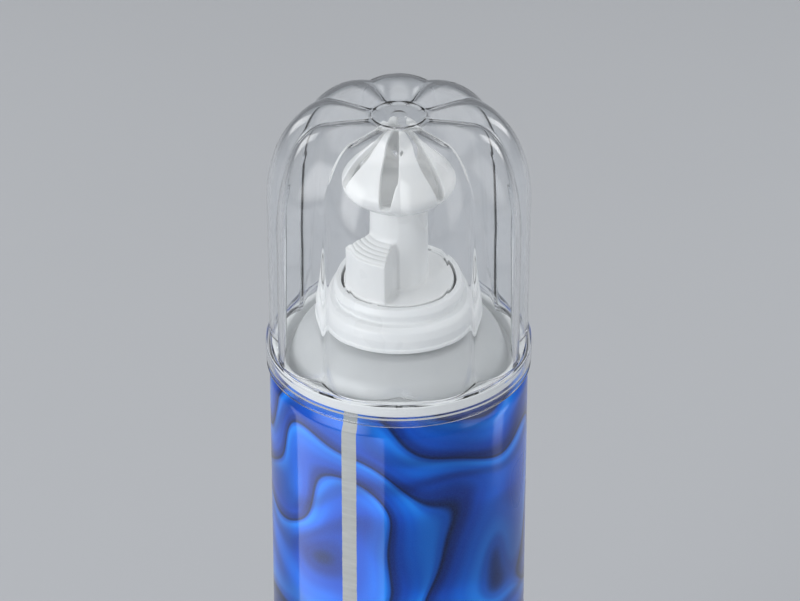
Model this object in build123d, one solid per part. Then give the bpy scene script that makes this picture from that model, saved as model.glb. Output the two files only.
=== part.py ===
from build123d import *
import math
import os
import numpy as np

# Pressurised dispensing can with a star nozzle, a clip-over collar and a clear
# nine-lobed overcap.  Millimetres, +Z up, origin on the can axis at the height
# of the rim it stands on.  Front is -Y; angles are in degrees from the front,
# + towards +X.  The thumb pad faces front-left (-X, -Y).
# Outlines list (radius, z) or (radius, z, corner fillet).
os.makedirs("parts", exist_ok=True)

# ---------------------------------------------------------------- dimensions
GAP = 0.04                  # working clearance between nested sheets

# can body and ends
BODY_R = 26.5               # outer radius of the straight body
SEAM_TOP = 186.1            # top of the upper double seam
SEAM_H = 2.6                # seam height
T_BODY = 0.22               # body plate
T_END = 0.30                # end plate
SEAM_PITCH = (T_BODY + T_END) / 2 + GAP     # between sheet centres in the seam
# sheet centre lines of the five seam layers, from the axis outwards
R_CHUCK = 24.43
R_WALL = R_CHUCK + SEAM_PITCH
R_END_HOOK = R_CHUCK + 2 * SEAM_PITCH
R_BODY_HOOK = R_CHUCK + 3 * SEAM_PITCH
R_PANEL = R_CHUCK + 4 * SEAM_PITCH
HOOK_FILLET = 0.29
CROWN_FILLET = 0.55
COMPOUND_HALF = 0.12        # half width of the lining compound

# mounting cup and valve
T_CUP = 0.30
CUP_TOP = 197.25
STEM_R = 2.0
STEM_TOP = 202.35
STEM_SHOULDER = 192.9       # underside of the stem flange, on the spring
STEM_CHAMFER = 0.5
STEM_BORE_R = 1.1
STEM_BORE_LOW = 194.9
CROSS_HOLE_R = 0.45
CROSS_HOLE_Z = 195.4
HOUSING_R = 4.85
HOUSING_LOW = 177.0
HOUSING_FLOOR = 179.2       # inner floor, under the spring
HOUSING_SLOTS = 4
HOUSING_SLOT_SIZE = (3.0, 1.6, 6.0)
HOUSING_SLOT_AT = (4.0, 0, 184.5)
SPRING_R = 2.45
WIRE_R = 0.30
SPRING_TURNS = 7.0

# collar
COLLAR_BORE_R = 12.35
COLLAR_LOW = 193.0
COLLAR_TOP = 201.2

# nozzle disc, neck and bulb
HUB_R = 3.6
HUB_LOW = 198.3
DISC_R = 11.85
DISC_LOW = 200.0
NECK_R = 5.85
NECK_TOP = 220.5
SOCKET_R = STEM_R + 0.35
SOCKET_LOW = 197.0
SOCKET_TOP = STEM_TOP + 0.2
PASSAGE_R = 1.4
PASSAGE_LOW = 201.0
PASSAGE_H = 6.0
SLOTS = 6
SLOT_FIRST = -73.5          # angle of the first slot
SLOT_REACH = 16.0           # length of the slot cutter from the axis

# thumb pad
PAD_R = 11.7
PAD_INNER_R = 5.2
PAD_LOW = COLLAR_TOP - 0.6
PAD_OUTER_Z, PAD_INNER_Z = 209.9, 212.2     # top height at the outer and inner radius
PAD_FROM, PAD_TO = -73.0, -13.6
PAD_SIDE = 7                # angle of solid pad on each side of the pocket
PAD_EDGE_W, PAD_EDGE_H = 0.25, 0.45         # bevel on the outer top edge
RIBS = 5
RIB_PITCH = 1.28

# webs between the nozzle disc and the collar
HINGE_ANGLE = 136.5         # living hinge, opposite the pad
HINGE_HALF = 10.5
BRIDGE_ANGLES = [-23.7, -66.0]
BRIDGE_HALF = 3.0

# overcap
CAP_TOP = 238.4
CAP_DISC_R = 5.75           # flat disc on the top
CAP_WALL = 0.8
DIMPLE_R, DIMPLE_DEPTH = 1.7, 0.35
LOBES = 9
LOBE_ARC_CENTRE, LOBE_ARC_R = 16.5, 10.45   # lobe arc in plan
# Meridians: wall radius at the shoulder and the foot, rise of the top from the
# disc to the shoulder, and the width and height of the elliptical shoulder.
CREASE = dict(shoulder_r=23.8, foot_r=24.3, rise=-0.35, width=9.0, height=17.0)
CREST = dict(shoulder_r=27.1, foot_r=26.9, rise=1.25, width=14.5, height=22.5)
SKIRT_R = 27.25             # raised band
SKIRT_EDGE_R = 27.0         # outside above and below the band
SKIRT_IN = 26.2
SKIRT_BEAD_R = 25.9         # inward bead
SKIRT_LOW = 181.7
LEDGE_LOW = SEAM_TOP + GAP
LEDGE_TOP = 187.15


# ------------------------------------------------------------------- helpers
def heading(a, b):
    """Unit vector from outline point a to b."""
    step = np.array(b[:2], float) - np.array(a[:2], float)
    return step / np.linalg.norm(step)


def left_of(v):
    return np.array((-v[1], v[0]))


def corners(pts, closed):
    """(start, end, arc) of each corner; arc is (centre, turn), or None if sharp."""
    result = []
    for i, point in enumerate(pts):
        here = np.array(point[:2], float)
        fillet = point[2] if len(point) > 2 else 0.0
        if fillet <= 0 or (not closed and i in (0, len(pts) - 1)):
            result.append((here, here, None))
            continue
        d_in = heading(pts[i - 1], point)
        d_out = heading(point, pts[(i + 1) % len(pts)])
        cross = d_in[0] * d_out[1] - d_in[1] * d_out[0]
        turn = math.atan2(cross, float(np.dot(d_in, d_out)))
        trim = fillet * math.tan(abs(turn) / 2)
        start, end = here - d_in * trim, here + d_out * trim
        centre = start + left_of(d_in) * (fillet if turn > 0 else -fillet)
        result.append((start, end, (centre, turn)))
    return result


def arc_middle(start, arc):
    """Middle of the arc that begins at start."""
    centre, turn = arc
    x, z = start - centre
    c, s = math.cos(turn / 2), math.sin(turn / 2)
    return centre + np.array((x * c - z * s, x * s + z * c))


def xz(point):
    return (point[0], 0, point[1])


def closed_face(items):
    """Face in the XZ plane from (start, end, arc middle or None) corners."""
    edges = []
    for (start, end, middle), following in zip(items, items[1:] + items[:1]):
        if middle is not None:
            edges.append(Edge.make_three_point_arc(xz(start), xz(middle), xz(end)))
        if np.linalg.norm(following[0] - end) > 1e-5:
            edges.append(Edge.make_line(xz(end), xz(following[0])))
    return Face(Wire(edges))


def outline_face(pts):
    """Face inside a closed outline with filleted corners."""
    return closed_face([(start, end, arc_middle(start, arc) if arc else None)
                        for start, end, arc in corners(pts, True)])


def sheet_face(pts, thickness):
    """Face of a sheet that follows a filleted centre line."""
    headings = [heading(a, b) for a, b in zip(pts, pts[1:])]
    sides = []
    for offset in (thickness / 2, -thickness / 2):
        items = []
        for i, (start, end, arc) in enumerate(corners(pts, False)):
            n_in = left_of(headings[max(i - 1, 0)])
            n_out = left_of(headings[min(i, len(headings) - 1)])
            if arc:
                start, end = start + n_in * offset, end + n_out * offset
                items.append((start, end, arc_middle(start, arc)))
            else:
                mitre = n_in + n_out
                corner = start + mitre / np.dot(mitre, n_in) * offset
                items.append((corner, corner, None))
        sides.append(items)
    back = [(end, start, middle) for start, end, middle in reversed(sides[1])]
    return closed_face(sides[0] + back)


def ring(face, angle=360.0):
    return Solid.revolve(face, angle, Axis.Z)


def turned(pts):
    """Full revolve of a closed outline."""
    return ring(outline_face(pts))


def sector(pts, start, end):
    """Closed outline revolved between two angles from the front."""
    return ring(outline_face(pts), end - start).rotate(Axis.Z, start - 90.0)


def rod(radius, low, height):
    """Cylinder on the can axis, standing on z = low."""
    base = (Align.CENTER, Align.CENTER, Align.MIN)
    return Cylinder(radius, height, align=base).moved(Location((0, 0, low)))


def box_outline(r0, r1, low, high):
    return [(r0, low), (r1, low), (r1, high), (r0, high)]


def largest_solid(shape):
    return max(shape.solids(), key=lambda solid: solid.volume)


def flip(pts):
    """Mirror an outline between the upper and the lower seam."""
    return [(p[0], SEAM_TOP - p[1]) + tuple(p[2:]) for p in pts]


def save(name, shape):
    export_step(shape, os.path.join("parts", name + ".step"))


# ------------------------------------------------- double-seamed can and ends
CROWN_Z = SEAM_TOP - T_END / 2              # end sheet over the seam
SEAM_FOOT_Z = SEAM_TOP - SEAM_H + T_END / 2
BODY_HOOK_Z = CROWN_Z - SEAM_PITCH          # body sheet under the crown

UPPER_BODY = [
    (R_BODY_HOOK, SEAM_TOP - 2.05), (R_BODY_HOOK, BODY_HOOK_Z, HOOK_FILLET),
    (R_WALL, BODY_HOOK_Z, HOOK_FILLET),
    (R_WALL, 182.3, 2.0), (BODY_R - T_BODY / 2, 178.7, 3.0)]

END_HOOK = [
    (R_END_HOOK, SEAM_TOP - 0.85), (R_END_HOOK, SEAM_FOOT_Z, HOOK_FILLET),
    (R_PANEL, SEAM_FOOT_Z, HOOK_FILLET), (R_PANEL, CROWN_Z, CROWN_FILLET),
    (R_CHUCK, CROWN_Z, CROWN_FILLET)]

# from the seam up the dome to the outward curl round the mouth
DOME = END_HOOK + [
    (24.25, 182.5, 0.65), (22.75, 182.5, 0.65), (21.0, 187.3, 5.0), (17.0, 190.85, 6.0),
    (13.9, 192.3, 2.5), (12.86, 193.6, 0.8), (12.86, 195.85, 0.95), (14.8, 195.85, 0.9),
    (14.8, 194.1, 0.5), (14.2, 193.85)]

# from the lower seam inwards to the axis
BASE = flip(END_HOOK) + [
    (24.2, 4.3, 1.1), (21.6, 5.6, 4.0), (14.0, 8.4, 20.0), (6.0, 9.7, 20.0), (0.0, 9.9)]

# lining compound between the end hook's tip and the body hook's crown
COMPOUND = box_outline(R_END_HOOK - COMPOUND_HALF, R_END_HOOK + COMPOUND_HALF,
                       SEAM_TOP - 0.80, SEAM_TOP - 0.62)


def base_end():
    # the sheet closes on the axis: trim the overhang so that it revolves cleanly
    keep = Face(Wire.make_polygon([(0, 0, -1), (40, 0, -1), (40, 0, 30), (0, 0, 30)]))
    trimmed = sheet_face(BASE, T_END) & keep
    return ring(trimmed.faces()[0])


save("can_body", ring(sheet_face(UPPER_BODY + flip(UPPER_BODY[::-1]), T_BODY)))
save("top_dome", ring(sheet_face(DOME, T_END)))
save("base_end", base_end())
save("top_seam_compound", turned(COMPOUND))
save("base_seam_compound", turned(flip(COMPOUND)))

# ------------------------------------------------------ mounting cup and valve
CUP_SHEET_TOP = CUP_TOP - T_CUP / 2
# from the outer rim, over the dome's curl, down and in to the stem
CUP = [
    (15.25, 194.45), (15.25, CUP_SHEET_TOP, 0.7), (12.35, CUP_SHEET_TOP, 0.8),
    (12.35, 193.1, 1.2), (12.75, 191.5, 0.7), (12.1, 190.3, 0.6), (5.6, 190.3, 0.45),
    (4.75, 191.5, 0.35), (5.25, 192.6, 0.35), (5.25, 196.15, 0.5), (2.5, 196.15)]

CUP_GASKET = [
    (13.2, 196.06, 0.15), (14.75, 196.06, 0.15), (14.75, 196.88, 0.3), (13.2, 196.88, 0.3)]

HOUSING = [
    (0.9, HOUSING_LOW), (3.6, HOUSING_LOW, 0.5), (4.2, 179.0, 0.5), (4.2, 192.3),
    (HOUSING_R, 192.95), (HOUSING_R, 194.82), (3.3, 194.82), (3.3, HOUSING_FLOOR, 0.4),
    (1.6, HOUSING_FLOOR), (1.6, 180.0), (0.9, 180.0)]

STEM = [
    (0.0, 190.8), (1.7, 190.8, 0.3), (1.7, STEM_SHOULDER), (3.0, STEM_SHOULDER, 0.2),
    (3.0, 194.3), (2.7, 194.78), (STEM_R, 194.78), (STEM_R, STEM_TOP - STEM_CHAMFER),
    (STEM_R - STEM_CHAMFER, STEM_TOP), (0.0, STEM_TOP)]


def valve_housing():
    housing = turned(HOUSING)
    # filling slots through the wall
    for k in range(HOUSING_SLOTS):
        slot = Box(*HOUSING_SLOT_SIZE).moved(Location(HOUSING_SLOT_AT))
        housing = housing - slot.rotate(Axis.Z, 45 + 360 / HOUSING_SLOTS * k)
    return largest_solid(housing)


def valve_stem():
    stem = turned(STEM) - rod(STEM_BORE_R, STEM_BORE_LOW, 20.0)
    cross_hole = Cylinder(CROSS_HOLE_R, 6.0).rotate(Axis.X, 90)
    return largest_solid(stem - cross_hole.moved(Location((0, 0, CROSS_HOLE_Z))))


def valve_spring():
    low = HOUSING_FLOOR + GAP + WIRE_R
    height = STEM_SHOULDER - GAP - WIRE_R - low
    coil = Edge.make_helix(pitch=height / SPRING_TURNS, height=height, radius=SPRING_R)
    coil = coil.moved(Location((0, 0, low)))
    section = Plane(origin=coil @ 0, z_dir=coil % 0) * Circle(WIRE_R)
    return largest_solid(sweep(section, path=coil, is_frenet=True))


save("mounting_cup", ring(sheet_face(CUP, T_CUP)))
save("cup_gasket", turned(CUP_GASKET))
save("stem_gasket", turned(box_outline(STEM_R + GAP, 4.9, 194.86, 195.94)))
save("valve_housing", valve_housing())
save("valve_stem", valve_stem())
save("valve_spring", valve_spring())

# ----------------------------------------------------------------------- collar
# up the outside from the foot, then down the bore and the inside
COLLAR = [
    (15.55, COLLAR_LOW, 0.15), (16.95, COLLAR_LOW, 0.15), (16.95, 193.62, 0.15),
    (16.68, 193.9, 0.08), (16.8, 195.6, 1.6), (16.3, 197.4, 1.1), (15.2, 198.05, 0.5),
    (14.25, 198.0, 0.3), (14.05, 198.7, 0.3), (14.45, 199.2, 0.3), (13.6, COLLAR_TOP, 0.45),
    (COLLAR_BORE_R, COLLAR_TOP, 0.12), (COLLAR_BORE_R, 197.95, 0.15), (12.75, 197.42, 0.3),
    (15.6, 197.42, 0.5), (15.6, 194.38, 0.1), (15.22, 194.05, 0.15), (15.22, 193.75, 0.15)]
save("collar", turned(COLLAR))

# ----------------------------------------------------------------------- nozzle
# hub, disc and neck
NOZZLE_BASE = [
    (0, HUB_LOW), (HUB_R, HUB_LOW), (HUB_R, DISC_LOW), (DISC_R, DISC_LOW),
    (DISC_R, COLLAR_TOP), (NECK_R, COLLAR_TOP), (NECK_R, NECK_TOP), (0, NECK_TOP)]

# spline points up the outside of the bulb
BULB = [
    (8.4, 219.9), (9.86, 220.9), (11.3, 222.3), (11.74, 224.0), (10.6, 226.2),
    (8.75, 228.6), (6.75, 231.0), (4.95, 233.4), (3.6, 235.6)]

# hollow of the neck and bulb, open at the tip
HOLLOW = [
    (0, 204.5), (2.9, 204.5, 0.8), (3.9, 208.0, 1.5), (3.9, 221.2, 0.6), (8.3, 221.4, 0.7),
    (9.9, 223.2, 1.0), (9.7, 224.9, 1.0), (7.3, 228.3, 2.0), (2.3, 233.6), (2.3, 240.0),
    (0, 240.0)]

# one side of a star slot: half width, z, fillet
SLOT_SIDE = [(0.95, 222.8, 0.4), (1.7, 229.5, 6.0), (1.25, 233.3, 3.0), (0.9, 237.0, 0.0)]

# one rib: distance inwards from its start, height above the sloping top
RIB = [(0.10, 0.0), (0.42, 0.30), (0.80, 0.30), (1.12, 0.0)]

PAD_POCKET = [(7.3, 199.0), (10.3, 199.0), (10.3, 207.9), (7.3, 208.8)]


def bulb():
    foot, tip = BULB[0], BULB[-1]
    return ring(Face(Wire([
        Edge.make_spline([Vector(r, 0, z) for r, z in BULB]),
        Edge.make_line(xz(tip), (0, 0, tip[1])),
        Edge.make_line((0, 0, tip[1]), (0, 0, foot[1])),
        Edge.make_line((0, 0, foot[1]), xz(foot))])))


def thumb_pad():
    """Sector block whose ribbed top rises towards the neck."""
    slope = (PAD_INNER_Z - PAD_OUTER_Z) / (PAD_R - PAD_INNER_R)
    ribs_start = PAD_R - PAD_EDGE_W
    outline = [(PAD_INNER_R, PAD_LOW), (PAD_R, PAD_LOW), (PAD_R, PAD_OUTER_Z - PAD_EDGE_H),
               (ribs_start, PAD_OUTER_Z)]
    for k in range(RIBS):
        for inwards, height in RIB:
            r = ribs_start - k * RIB_PITCH - inwards
            outline.append((r, PAD_OUTER_Z + (PAD_R - r) * slope + height))
    outline.append((PAD_INNER_R, PAD_INNER_Z))
    return sector(outline, PAD_FROM, PAD_TO)


def nozzle():
    body = turned(NOZZLE_BASE) + bulb()
    body = body + thumb_pad()
    body = body - sector(PAD_POCKET, PAD_FROM + PAD_SIDE, PAD_TO - PAD_SIDE)
    # stem socket, passage and hollow
    body = body - turned([(0, SOCKET_TOP), (SOCKET_R, SOCKET_TOP), (SOCKET_R, SOCKET_LOW),
                          (0, SOCKET_LOW)])
    body = body - rod(PASSAGE_R, PASSAGE_LOW, PASSAGE_H)
    body = body - turned(HOLLOW)
    slot_face = outline_face([(-w, z, f) for w, z, f in SLOT_SIDE[::-1]] + SLOT_SIDE)
    for k in range(SLOTS):
        cutter = extrude(slot_face, amount=SLOT_REACH, dir=(0, -1, 0))
        body = body - cutter.rotate(Axis.Z, SLOT_FIRST + k * 360.0 / SLOTS)
    return largest_solid(body)


def web(clearance, low, high, angle, half):
    """Web across the ring between the nozzle disc and the collar bore."""
    outline = box_outline(DISC_R + clearance, COLLAR_BORE_R - clearance, low, high)
    return sector(outline, angle - half, angle + half)


save("nozzle", nozzle())
save("living_hinge", web(0.05, 200.72, 201.12, HINGE_ANGLE, HINGE_HALF))
# the two break-off webs
save("tamper_bridges", Compound(children=[
    web(GAP, 200.35, 201.15, angle, BRIDGE_HALF) for angle in BRIDGE_ANGLES]))

# ---------------------------------------------------------------------- overcap
SKIRT = [
    (0, LEDGE_LOW), (25.95, LEDGE_LOW), (SKIRT_IN, 185.6, 0.2), (SKIRT_IN, 183.6),
    (SKIRT_BEAD_R, 183.0, 0.2), (SKIRT_BEAD_R, 182.7, 0.2), (26.15, SKIRT_LOW + 0.3),
    (26.35, SKIRT_LOW), (SKIRT_EDGE_R, SKIRT_LOW, 0.3), (SKIRT_EDGE_R, 182.35, 0.2),
    (SKIRT_R, 182.9, 0.3), (SKIRT_R, 185.7, 0.3), (SKIRT_EDGE_R, 186.3, 0.2),
    (SKIRT_EDGE_R, LEDGE_TOP, 0.4), (0, LEDGE_TOP)]

# Bezier degrees and sample counts, around a lobe and along its meridian
DEGREE_AROUND, DEGREE_ALONG = 8, 13
SAMPLES_AROUND, SAMPLES_ALONG = 33, 120


def fit_bezier(degree, params, values):
    """Least-squares Bezier control values with both ends held exactly."""
    basis = np.array([[math.comb(degree, i) * t ** i * (1 - t) ** (degree - i)
                       for i in range(degree + 1)] for t in params])
    rest = values - np.outer(basis[:, 0], values[0]) - np.outer(basis[:, -1], values[-1])
    middle, *_ = np.linalg.lstsq(basis[:, 1:-1], rest, rcond=None)
    return np.vstack([values[0], middle, values[-1]])


def meridian(inset, foot_z, shoulder_r, foot_r, rise, width, height):
    """Evenly spaced (radius, z): drifting top, elliptical shoulder, drafted wall."""
    wall_r, foot_r = shoulder_r - inset, foot_r - inset
    width, height = width - inset, height - inset
    disc_z = CAP_TOP - inset
    wall_z = disc_z + rise - height
    pts = []
    for s in np.linspace(0, 1, 60, endpoint=False):
        # a rising top is eased in and out, a falling one is straight
        eased = s if rise < 0 else s * s * (3 - 2 * s)
        pts.append((CAP_DISC_R + (wall_r - width - CAP_DISC_R) * s, disc_z + rise * eased))
    for a in np.linspace(0, math.pi / 2, 160, endpoint=False):
        pts.append((wall_r - width + width * math.sin(a), wall_z + height * math.cos(a)))
    for s in np.linspace(0, 1, 60):
        pts.append((wall_r + (foot_r - wall_r) * s, wall_z + (foot_z - wall_z) * s))
    pts = np.array(pts)
    along = np.r_[0, np.cumsum(np.linalg.norm(np.diff(pts, axis=0), axis=1))]
    along /= along[-1]
    s = np.linspace(0, 1, SAMPLES_ALONG)
    return np.c_[np.interp(s, along, pts[:, 0]), np.interp(s, along, pts[:, 1])]


def lobed_solid(inset, foot_z):
    """Nine-lobed closed solid, inset everywhere by inset."""
    crease = meridian(inset, foot_z, **CREASE)
    crest = meridian(inset, foot_z, **CREST)
    half = math.pi / LOBES
    arc_r = LOBE_ARC_R - inset

    def plan_r(a):
        across = LOBE_ARC_CENTRE * math.sin(a)
        return LOBE_ARC_CENTRE * math.cos(a) + math.sqrt(arc_r ** 2 - across ** 2)

    def crest_share(a):
        """0 in the crease, 1 on the crest."""
        share = (plan_r(a) - plan_r(half)) / (LOBE_ARC_CENTRE + arc_r - plan_r(half))
        return max(0.0, min(1.0, share))

    # fit along the meridian, then around; ends are held so neighbours share edges
    along = np.linspace(0, 1, SAMPLES_ALONG)
    around = np.linspace(0, 1, SAMPLES_AROUND)
    rows = []
    for a in np.linspace(-half, half, SAMPLES_AROUND):
        r, z = (crease + crest_share(a) * (crest - crease)).T
        rows.append(fit_bezier(DEGREE_ALONG, along, np.c_[r * np.cos(a), r * np.sin(a), z]))
    rows = np.array(rows)
    control = np.stack([fit_bezier(DEGREE_AROUND, around, rows[:, j])
                        for j in range(DEGREE_ALONG + 1)], axis=1)

    faces, tops, feet = [], [], []
    for k in range(LOBES):
        turn = math.pi / 2 + 2 * half * k
        c, s = math.cos(turn), math.sin(turn)
        face = Face.make_bezier_surface([
            [Vector(float(x * c - y * s), float(x * s + y * c), float(z)) for x, y, z in row]
            for row in control])
        faces.append(face)
        edges = sorted(face.edges(), key=lambda edge: edge.center().Z)
        feet.append(edges[0])
        tops.append(edges[-1])
    faces.append(Face(Wire(tops)))
    faces.append(Face(Wire(feet)))
    return Solid(Shell(faces))


def overcap():
    outer = lobed_solid(0.0, LEDGE_LOW + 0.4)
    inner = lobed_solid(CAP_WALL, SEAM_TOP - 3.0)
    cap = (outer + turned(SKIRT)) - inner
    return largest_solid(cap - rod(DIMPLE_R, CAP_TOP - DIMPLE_DEPTH, DIMPLE_DEPTH))


save("overcap", overcap())
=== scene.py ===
# Aerosol can with a lobed clear overcap, a white collar and a turning nozzle. The can stands on
# z = 0 with its axis on Z and its front toward -Y. Shapes are written in millimetres and turned
# into metres when a mesh is made; materials, lights and camera work in metres.
import math
import bmesh
import bpy
import numpy as np
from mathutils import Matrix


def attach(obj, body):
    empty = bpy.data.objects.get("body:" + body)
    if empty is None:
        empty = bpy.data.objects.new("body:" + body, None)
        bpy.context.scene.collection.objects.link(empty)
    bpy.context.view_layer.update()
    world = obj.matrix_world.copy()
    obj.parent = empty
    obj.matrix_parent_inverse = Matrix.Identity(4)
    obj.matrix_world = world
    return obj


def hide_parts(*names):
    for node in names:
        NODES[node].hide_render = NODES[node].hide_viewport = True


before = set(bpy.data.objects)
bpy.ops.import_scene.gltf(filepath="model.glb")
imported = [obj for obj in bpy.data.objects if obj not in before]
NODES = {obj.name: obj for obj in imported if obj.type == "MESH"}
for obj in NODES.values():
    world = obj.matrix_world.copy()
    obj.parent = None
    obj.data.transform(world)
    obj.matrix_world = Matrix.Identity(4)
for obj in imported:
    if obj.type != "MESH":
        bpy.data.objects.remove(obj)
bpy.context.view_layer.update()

import openvdb
from mathutils import Vector

SCENE = bpy.context.scene

# ------------------------------------------------------------ shared dimensions, mm
BODY_R = 26.5
SEAM_TOP, SEAM_H = 186.1, 2.6
GAP = 0.04                                   # clearance between touching pieces
T_BODY, T_END, T_CUP = 0.22, 0.30, 0.30      # sheet thicknesses
COLLAR_BORE_R, COLLAR_LOW, COLLAR_TOP = 12.35, 193.0, 201.2
DISC_R, DISC_LOW = 11.68, 200.0              # nozzle disc inside the collar bore


# ------------------------------------------------------------ mesh helpers
def make_object(name, verts_mm, faces, material, sharp_angle=38.0):
    """Welded, smooth-shaded mesh object; edges above sharp_angle degrees stay sharp."""
    mesh = bpy.data.meshes.new(name)
    verts = (np.asarray(verts_mm, float) * 0.001).tolist()
    mesh.from_pydata(verts, [], [list(map(int, face)) for face in faces])
    bm = bmesh.new()
    bm.from_mesh(mesh)
    bmesh.ops.remove_doubles(bm, verts=bm.verts, dist=2e-7)
    bmesh.ops.dissolve_degenerate(bm, edges=bm.edges, dist=1e-8)
    bmesh.ops.recalc_face_normals(bm, faces=bm.faces)
    bm.to_mesh(mesh)
    bm.free()
    mesh.shade_smooth()
    if sharp_angle:
        mesh.set_sharp_from_angle(angle=math.radians(sharp_angle))
    mesh.materials.append(material)
    ob = bpy.data.objects.new(name, mesh)
    SCENE.collection.objects.link(ob)
    return ob


def place(ob, body, node):
    """Parent a mesh to its moving body and hide the CAD piece it replaces."""
    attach(ob, body)
    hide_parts(node)


def left_of(direction):
    return np.array((-direction[1], direction[0]))


def fillet_line(corners, closed=False, step=7.0):
    """Corners (x, y[, fillet radius]) -> points and normals, an arc point about every step deg."""
    def heading(start, end):
        a, b = (np.array(corners[k][:2], float) for k in (start, end))
        return (b - a) / np.linalg.norm(b - a)

    count = len(corners)
    points, normals = [], []
    for i, corner in enumerate(corners):
        here = np.array(corner[:2], float)
        radius = corner[2] if len(corner) > 2 else 0.0
        if not closed and i in (0, count - 1):
            points.append(here)
            normals.append(left_of(heading(0, 1) if i == 0 else heading(i - 1, i)))
            continue
        arriving, leaving = heading(i - 1, i), heading(i, (i + 1) % count)
        side = left_of(arriving)
        if radius <= 0:
            miter = side + left_of(leaving)
            points.append(here)
            normals.append(miter / np.dot(miter, side))
            continue
        cross = arriving[0] * leaving[1] - arriving[1] * leaving[0]
        turn = math.atan2(cross, float(np.dot(arriving, leaving)))
        sign = 1 if turn > 0 else -1
        start = here - arriving * (radius * math.tan(abs(turn) / 2))
        centre = start + side * radius * sign
        spoke = start - centre
        steps = max(3, int(abs(math.degrees(turn)) / step))
        for j in range(steps + 1):
            c, s = math.cos(turn * j / steps), math.sin(turn * j / steps)
            turned = np.array((spoke[0] * c - spoke[1] * s, spoke[0] * s + spoke[1] * c))
            points.append(centre + turned)
            normals.append(-turned / radius * sign)
    return np.array(points), np.array(normals)


def densify(points, longest):
    """Split the edges of a closed loop so that none is longer than longest."""
    dense = []
    for i, start in enumerate(points):
        end = points[(i + 1) % len(points)]
        steps = max(1, int(math.ceil(np.linalg.norm(end - start) / longest)))
        dense += [start + (end - start) * j / steps for j in range(steps)]
    return np.array(dense)


def sheet_loop(corners, thickness):
    """Closed outline of a sheet laid along a centre line."""
    points, normals = fillet_line(corners)
    half = normals * thickness / 2
    return densify(np.vstack([points + half, (points - half)[::-1]]), longest=6.0)


def spin(name, loop, material, segments=288):
    """Closed (r, z) loop turned about Z."""
    count = len(loop)
    angles = np.linspace(0, 2 * math.pi, segments, endpoint=False)
    verts = np.zeros((segments, count, 3))
    verts[:, :, 0] = np.cos(angles)[:, None] * loop[None, :, 0]
    verts[:, :, 1] = np.sin(angles)[:, None] * loop[None, :, 0]
    verts[:, :, 2] = loop[None, :, 1]
    faces = []
    for i in range(segments):
        j = (i + 1) % segments
        for k in range(count):
            n = (k + 1) % count
            if max(loop[k, 0], loop[n, 0]) < 1e-6:    # edge on the axis
                continue
            faces.append((i * count + k, j * count + k, j * count + n, i * count + n))
    return make_object(name, verts.reshape(-1, 3), faces, material)


# ------------------------------------------------------------ node helpers
class Graph:
    """Short calls for building a node tree."""

    def __init__(self, tree):
        self.tree = tree

    def node(self, kind, **settings):
        node = self.tree.nodes.new(kind)
        for key, value in settings.items():
            setattr(node, key, value)
        return node

    def link(self, source, target):
        self.tree.links.new(source, target)

    def feed(self, socket, value):
        """Link a socket, or set a plain value."""
        if isinstance(value, bpy.types.NodeSocket):
            self.link(value, socket)
        else:
            socket.default_value = value

    def split(self, vector):
        node = self.node("ShaderNodeSeparateXYZ")
        self.link(vector, node.inputs[0])
        return node.outputs[:]

    def calc(self, operation, *values, clamp=False):
        node = self.node("ShaderNodeMath", operation=operation, use_clamp=clamp)
        for socket, value in zip(node.inputs, values):
            self.feed(socket, value)
        return node.outputs[0]

    def remap(self, value, span, to, smooth=False):
        node = self.node("ShaderNodeMapRange")
        if smooth:
            node.interpolation_type = "SMOOTHSTEP"
        self.link(value, node.inputs[0])
        for i, limit in enumerate((*span, *to), 1):
            node.inputs[i].default_value = limit
        return node.outputs[0]


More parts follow.
